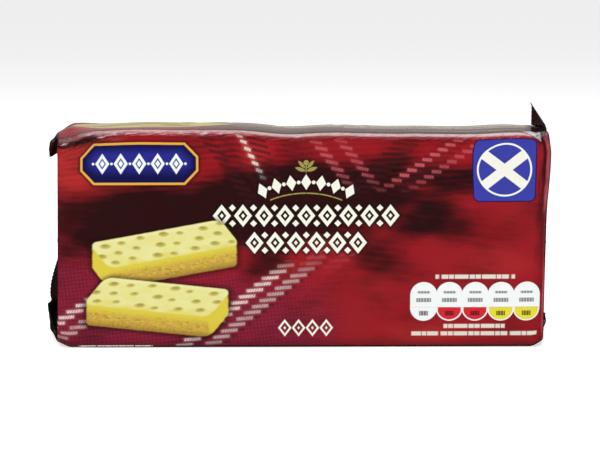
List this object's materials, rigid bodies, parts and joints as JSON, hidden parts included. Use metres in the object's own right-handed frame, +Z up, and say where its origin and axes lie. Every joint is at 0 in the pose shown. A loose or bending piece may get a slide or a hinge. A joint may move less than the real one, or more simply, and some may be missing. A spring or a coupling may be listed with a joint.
{
  "type": "film-wrapped pack of shortbread fingers",
  "caption": "Shut film-wrapped pack of shortbread fingers standing on its long side, with folded end fins, film ears and a back seam.",
  "frame": {"origin": "middle of the flat long side that the pack stands on", "axes": "+X along the pack towards its right end as seen from the printed front, +Y from the front to the back seam, +Z up"},
  "size_m": [0.1765, 0.0362, 0.0812],
  "materials": {
    "printed_film": "glossy printed film"
  },
  "bodies": {
    "root": {"wrapped_pack": "printed_film"}
  },
  "joints": []
}
